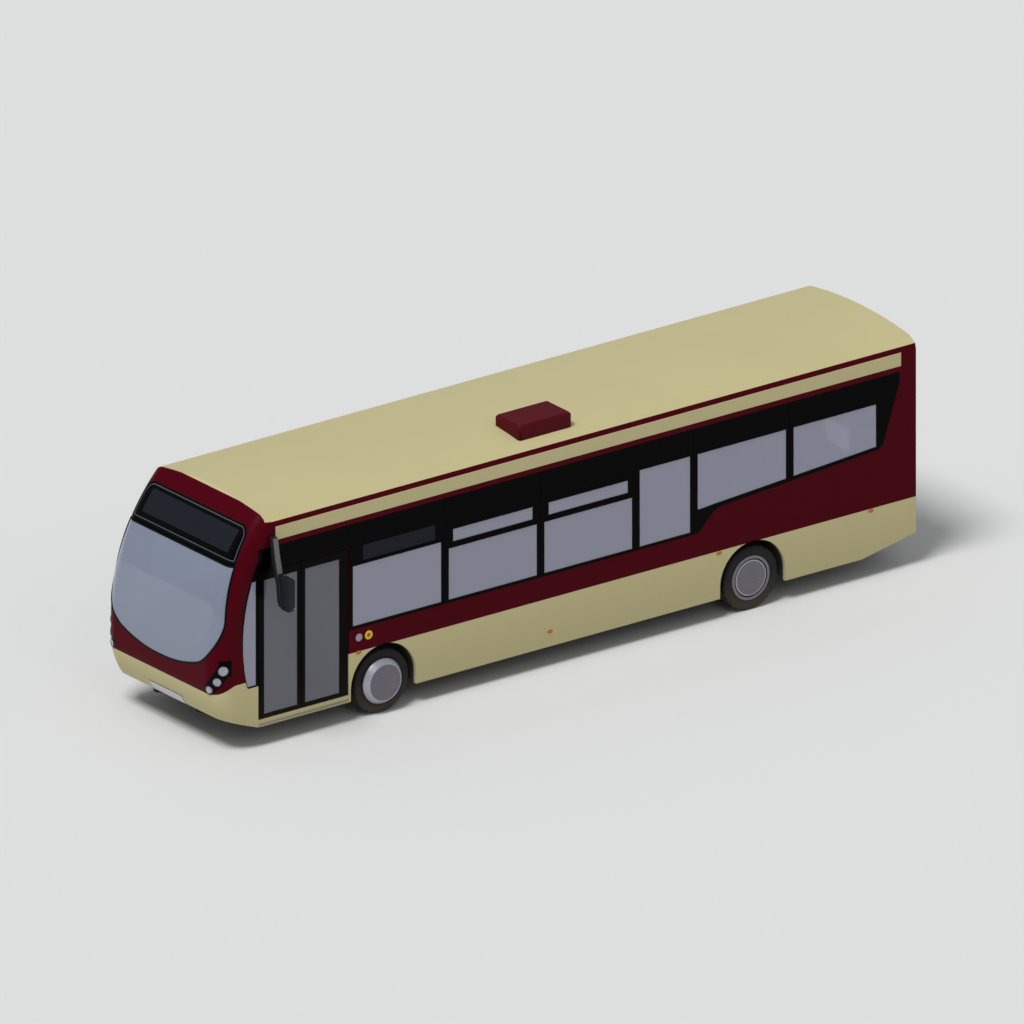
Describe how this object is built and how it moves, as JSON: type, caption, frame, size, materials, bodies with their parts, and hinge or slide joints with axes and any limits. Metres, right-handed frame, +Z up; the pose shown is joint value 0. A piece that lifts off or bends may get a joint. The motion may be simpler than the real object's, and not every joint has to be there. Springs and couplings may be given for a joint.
{
  "type": "city bus",
  "caption": "Single deck city bus with a rounded front, double entrance door, tinted side glazing, roof pod, steered front wheels and twin rear wheels.",
  "frame": {"origin": "on the road, midway along the bus and on its centre line", "axes": "+Z up, -Y toward the front of the bus, +X toward the entrance side"},
  "size_m": [3.23, 11.1771, 3.325],
  "materials": {
    "body_cream": "weathered gloss",
    "roof_cream": "weathered gloss",
    "body_maroon": "gloss",
    "window_glass": "tinted",
    "screen_glass": "clear",
    "lamp_black": "gloss",
    "lamp_clear": "clear",
    "lamp_red": "gloss",
    "floor_covering": "matt",
    "liner_grey": "matt",
    "frame_black": "satin",
    "engine_iron": "matt",
    "axle_iron": "matt",
    "rod_steel": "satin",
    "bellows_rubber": "matt",
    "tyre": "matt",
    "rim_grey": "satin",
    "door_black": "satin",
    "dash_grey": "matt",
    "grip_black": "satin",
    "partition_grey": "satin",
    "seat_shell_grey": "satin",
    "seat_fabric": "woven",
    "rail_yellow": "gloss",
    "mirror_black": "satin"
  },
  "bodies": {
    "bus_body": {"side_wall_left": "body_maroon", "side_wall_right": "body_maroon", "side_glass": "window_glass", "roof_panel": "roof_cream", "roof_pod": "body_maroon", "front_panel": "body_maroon", "front_bumper": "body_cream", "windscreen": "screen_glass", "destination_glass": "window_glass", "headlamp_housings": "lamp_black", "headlamp_lenses": "lamp_clear", "rear_panel": "body_maroon", "rear_window": "window_glass", "tail_lamps": "lamp_red", "floor": "floor_covering", "wheel_boxes": "liner_grey", "chassis_frame": "frame_black", "engine_block": "engine_iron", "front_axle": "axle_iron", "rear_axle": "axle_iron", "air_springs": "bellows_rubber", "dashboard": "dash_grey", "steering_wheel": "grip_black", "cab_partition": "partition_grey", "seat_frames": "seat_shell_grey", "seat_cushions": "seat_fabric", "handrails": "rail_yellow", "mirrors": "mirror_black"},
    "knuckle_left": {"knuckle_left": "axle_iron"},
    "knuckle_right": {"knuckle_right": "axle_iron"},
    "track_rod": {"track_rod": "rod_steel"},
    "wheel_front_left": {"front_tyre_left": "tyre", "front_rim_left": "rim_grey"},
    "wheel_front_right": {"front_tyre_right": "tyre", "front_rim_right": "rim_grey"},
    "wheels_rear_left": {"rear_tyres_left": "tyre", "rear_rims_left": "rim_grey"},
    "wheels_rear_right": {"rear_tyres_right": "tyre", "rear_rims_right": "rim_grey"},
    "entrance_door_front": {"door_leaf_front": "door_black", "door_glass_front": "window_glass"},
    "entrance_door_rear": {"door_leaf_rear": "door_black", "door_glass_rear": "window_glass"},
    "engine_door": {"engine_door": "body_maroon"},
    "cab_door": {"cab_door": "partition_grey"}
  },
  "joints": [
    {"name": "steer_left", "type": "hinge", "parent": "bus_body", "child": "knuckle_left", "pos_m": [0.955, -2.915, 0.435], "axis": [0, 0, 1], "range_deg": [-40, 40]},
    {"name": "steer_right", "type": "hinge", "parent": "bus_body", "child": "knuckle_right", "pos_m": [-0.955, -2.915, 0.435], "axis": [0, 0, 1], "range_deg": [-40, 40]},
    {"name": "track_rod_swing", "type": "hinge", "parent": "knuckle_left", "child": "track_rod", "pos_m": [0.955, -2.765, 0.367], "axis": [0, 0, 1], "range_deg": [-40, 40]},
    {"name": "wheel_front_left_spin", "type": "hinge", "parent": "knuckle_left", "child": "wheel_front_left", "pos_m": [1.033, -2.915, 0.435], "axis": [1, 0, 0], "continuous": true},
    {"name": "wheel_front_right_spin", "type": "hinge", "parent": "knuckle_right", "child": "wheel_front_right", "pos_m": [-1.033, -2.915, 0.435], "axis": [1, 0, 0], "continuous": true},
    {"name": "wheels_rear_left_spin", "type": "hinge", "parent": "bus_body", "child": "wheels_rear_left", "pos_m": [0.88, 2.975, 0.435], "axis": [1, 0, 0], "continuous": true},
    {"name": "wheels_rear_right_spin", "type": "hinge", "parent": "bus_body", "child": "wheels_rear_right", "pos_m": [-0.88, 2.975, 0.435], "axis": [1, 0, 0], "continuous": true},
    {"name": "entrance_front_swing", "type": "hinge", "parent": "bus_body", "child": "entrance_door_front", "pos_m": [1.174, -4.869, 0.378], "axis": [0, 0, 1], "range_deg": [0, 88]},
    {"name": "entrance_rear_swing", "type": "hinge", "parent": "bus_body", "child": "entrance_door_rear", "pos_m": [1.174, -3.508, 0.378], "axis": [0, 0, -1], "range_deg": [0, 88]},
    {"name": "engine_door_lift", "type": "hinge", "parent": "bus_body", "child": "engine_door", "pos_m": [0, 5.563, 1.52], "axis": [1, 0, 0], "range_deg": [0, 80]},
    {"name": "cab_door_swing", "type": "hinge", "parent": "bus_body", "child": "cab_door", "pos_m": [-0.2, -3.722, 0.54], "axis": [0, 0, 1], "range_deg": [0, 90]}
  ],
  "couplings": [
    {"joint": "steer_right", "follows": "steer_left", "ratio": 1},
    {"joint": "track_rod_swing", "follows": "steer_left", "ratio": -1},
    {"joint": "entrance_rear_swing", "follows": "entrance_front_swing", "ratio": 1}
  ]
}
